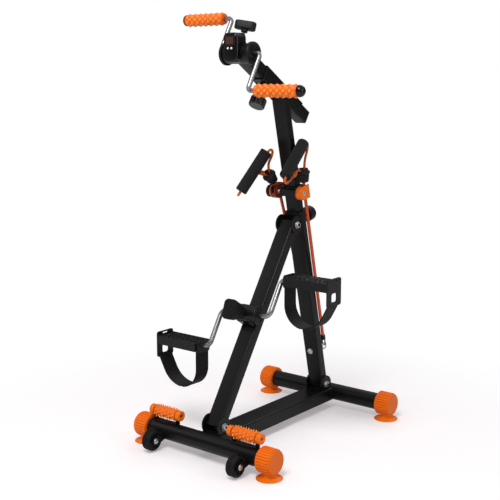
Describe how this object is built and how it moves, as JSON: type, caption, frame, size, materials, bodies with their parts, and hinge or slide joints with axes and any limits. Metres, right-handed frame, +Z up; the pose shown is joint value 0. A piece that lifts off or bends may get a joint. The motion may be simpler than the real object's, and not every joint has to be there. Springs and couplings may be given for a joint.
{
  "type": "upper and lower limb trainer",
  "caption": "Black A-frame exercise stand with a hand crank, a foot crank, pull handles on stretch tubes, massage rollers and transport wheels.",
  "frame": {"origin": "on the floor under the middle of the whole machine", "axes": "+Z up, +Y from the seated user to the rear of the machine, +X to the user's right"},
  "size_m": [0.516, 0.7074, 1.2079],
  "materials": {
    "frame_paint": "satin",
    "black_plastic": "matte",
    "foot_rubber": "satin",
    "brake_pad": "matte",
    "steel": "brushed",
    "chrome": "polished",
    "orange_plastic": "gloss",
    "orange_rubber": "satin",
    "grip_rubber": "satin",
    "handle_foam": "matte",
    "pedal_plastic": "matte",
    "strap_rubber": "satin",
    "wheel_plastic": "matte",
    "window": "gloss",
    "button_plastic": "gloss"
  },
  "bodies": {
    "base_frame": {"cross_tubes": "frame_paint", "base_rail": "frame_paint", "end_caps": "orange_plastic", "suction_feet": "foot_rubber", "post_brackets": "frame_paint", "front_post": "frame_paint", "rear_post": "frame_paint", "post_collar": "black_plastic", "frame_bolts": "steel", "wheel_forks": "frame_paint", "roller_brackets": "frame_paint", "roller_collars": "orange_plastic", "lower_housing": "black_plastic", "lower_flanges": "black_plastic", "lower_brake_shoe": "brake_pad", "lower_saddle": "frame_paint", "rope_collar": "black_plastic", "pulley_cases": "orange_plastic", "stretch_tubes": "orange_rubber", "tube_hooks": "black_plastic", "tube_anchor": "steel"},
    "upper_post": {"upper_post": "frame_paint", "post_glide": "black_plastic", "arm_sleeve": "frame_paint", "sleeve_rims": "black_plastic"},
    "arm": {"arm_tube": "frame_paint", "arm_end_plug": "black_plastic", "upper_housing": "black_plastic", "upper_flanges": "black_plastic", "upper_brake_shoe": "brake_pad", "display_case": "black_plastic", "display_window": "window"},
    "upper_crank": {"upper_crank": "chrome", "grip_end_caps": "black_plastic"},
    "lower_crank": {"lower_crank": "chrome"},
    "post_lock_knob": {"post_lock_knob": "black_plastic"},
    "arm_lock_knob": {"arm_lock_knob": "black_plastic"},
    "rope_clamp_knob": {"rope_clamp_knob": "black_plastic"},
    "upper_tension_knob": {"upper_tension_knob": "black_plastic"},
    "lower_tension_knob": {"lower_tension_knob": "black_plastic"},
    "hand_grip_left": {"hand_grip_left": "grip_rubber"},
    "pedal_left": {"pedal_left": "pedal_plastic", "pedal_strap_left": "strap_rubber"},
    "wheel_left": {"wheel_left": "wheel_plastic"},
    "massage_roller_left": {"massage_roller_left": "orange_plastic"},
    "pulley_left": {"pulley_left": "wheel_plastic"},
    "pull_line_left": {"cord_cup_left": "black_plastic", "pull_cord_left": "orange_rubber", "pull_handle_left": "handle_foam"},
    "display_button_left": {"display_button_left": "button_plastic"},
    "hand_grip_right": {"hand_grip_right": "grip_rubber"},
    "pedal_right": {"pedal_right": "pedal_plastic", "pedal_strap_right": "strap_rubber"},
    "wheel_right": {"wheel_right": "wheel_plastic"},
    "massage_roller_right": {"massage_roller_right": "orange_plastic"},
    "pulley_right": {"pulley_right": "wheel_plastic"},
    "pull_line_right": {"cord_cup_right": "black_plastic", "pull_cord_right": "orange_rubber", "pull_handle_right": "handle_foam"},
    "display_button_right": {"display_button_right": "button_plastic"}
  },
  "joints": [
    {"name": "upper_post_height", "type": "slide", "parent": "base_frame", "child": "upper_post", "axis": [0, -0.2277, 0.9737], "range_m": [-0.06, 0.1]},
    {"name": "arm_reach", "type": "slide", "parent": "upper_post", "child": "arm", "axis": [0, -0.8474, 0.531], "range_m": [-0.05, 0.04]},
    {"name": "upper_crank_turn", "type": "hinge", "parent": "arm", "child": "upper_crank", "pos_m": [0, -0.1183, 1.09226], "axis": [1, 0, 0], "continuous": true},
    {"name": "lower_crank_turn", "type": "hinge", "parent": "base_frame", "child": "lower_crank", "pos_m": [0, -0.09488, 0.37591], "axis": [1, 0, 0], "continuous": true},
    {"name": "hand_grip_left_spin", "type": "hinge", "parent": "upper_crank", "child": "hand_grip_left", "pos_m": [-0.098, -0.06357, 1.1894], "axis": [1, 0, 0], "continuous": true},
    {"name": "pedal_left_spin", "type": "hinge", "parent": "lower_crank", "child": "pedal_left", "pos_m": [-0.106, -0.15533, 0.27609], "axis": [1, 0, 0], "continuous": true},
    {"name": "wheel_left_spin", "type": "hinge", "parent": "base_frame", "child": "wheel_left", "pos_m": [-0.151, -0.32475, 0.033], "axis": [1, 0, 0], "continuous": true},
    {"name": "massage_roller_left_spin", "type": "hinge", "parent": "base_frame", "child": "massage_roller_left", "pos_m": [-0.142, -0.27125, 0.101], "axis": [1, 0, 0], "continuous": true},
    {"name": "pulley_left_spin", "type": "hinge", "parent": "base_frame", "child": "pulley_left", "pos_m": [-0.046, 0.10679, 0.70066], "axis": [1, 0, 0], "continuous": true},
    {"name": "pull_line_left_swing", "type": "hinge", "parent": "base_frame", "child": "pull_line_left", "pos_m": [-0.046, 0.10679, 0.70066], "axis": [1, 0, 0], "range_deg": [-5, 8]},
    {"name": "display_button_left_press", "type": "slide", "parent": "arm", "child": "display_button_left", "axis": [0, 1, 0], "range_m": [0, 0.001], "stiffness_N_per_m": 300, "springref_m": -0.0005},
    {"name": "hand_grip_right_spin", "type": "hinge", "parent": "upper_crank", "child": "hand_grip_right", "pos_m": [0.098, -0.17304, 0.99512], "axis": [1, 0, 0], "continuous": true},
    {"name": "pedal_right_spin", "type": "hinge", "parent": "lower_crank", "child": "pedal_right", "pos_m": [0.106, -0.03443, 0.47573], "axis": [1, 0, 0], "continuous": true},
    {"name": "wheel_right_spin", "type": "hinge", "parent": "base_frame", "child": "wheel_right", "pos_m": [0.151, -0.32475, 0.033], "axis": [1, 0, 0], "continuous": true},
    {"name": "massage_roller_right_spin", "type": "hinge", "parent": "base_frame", "child": "massage_roller_right", "pos_m": [0.142, -0.27125, 0.101], "axis": [1, 0, 0], "continuous": true},
    {"name": "pulley_right_spin", "type": "hinge", "parent": "base_frame", "child": "pulley_right", "pos_m": [0.046, 0.10679, 0.70066], "axis": [1, 0, 0], "continuous": true},
    {"name": "pull_line_right_swing", "type": "hinge", "parent": "base_frame", "child": "pull_line_right", "pos_m": [0.046, 0.10679, 0.70066], "axis": [1, 0, 0], "range_deg": [-5, 8]},
    {"name": "display_button_right_press", "type": "slide", "parent": "arm", "child": "display_button_right", "axis": [0, 1, 0], "range_m": [0, 0.001], "stiffness_N_per_m": 300, "springref_m": -0.0005},
    {"name": "post_lock_knob_pull", "type": "slide", "parent": "base_frame", "child": "post_lock_knob", "axis": [0, 0.9737, 0.2277], "range_m": [0, 0.01], "stiffness_N_per_m": 1500, "springref_m": -0.004},
    {"name": "arm_lock_knob_turn", "type": "hinge", "parent": "upper_post", "child": "arm_lock_knob", "pos_m": [0, -0.00178, 1.02397], "axis": [0, -0.531, -0.8474], "range_deg": [-180, 360]},
    {"name": "rope_clamp_knob_turn", "type": "hinge", "parent": "base_frame", "child": "rope_clamp_knob", "pos_m": [0, 0.10679, 0.70066], "axis": [-1, 0, 0], "range_deg": [-180, 360]},
    {"name": "upper_tension_knob_turn", "type": "hinge", "parent": "arm", "child": "upper_tension_knob", "pos_m": [0, -0.1183, 1.09226], "axis": [0, 0.309, 0.9511], "range_deg": [-360, 360]},
    {"name": "lower_tension_knob_turn", "type": "hinge", "parent": "base_frame", "child": "lower_tension_knob", "pos_m": [0, -0.09488, 0.37591], "axis": [0, -0.9455, 0.3256], "range_deg": [-360, 360]}
  ]
}
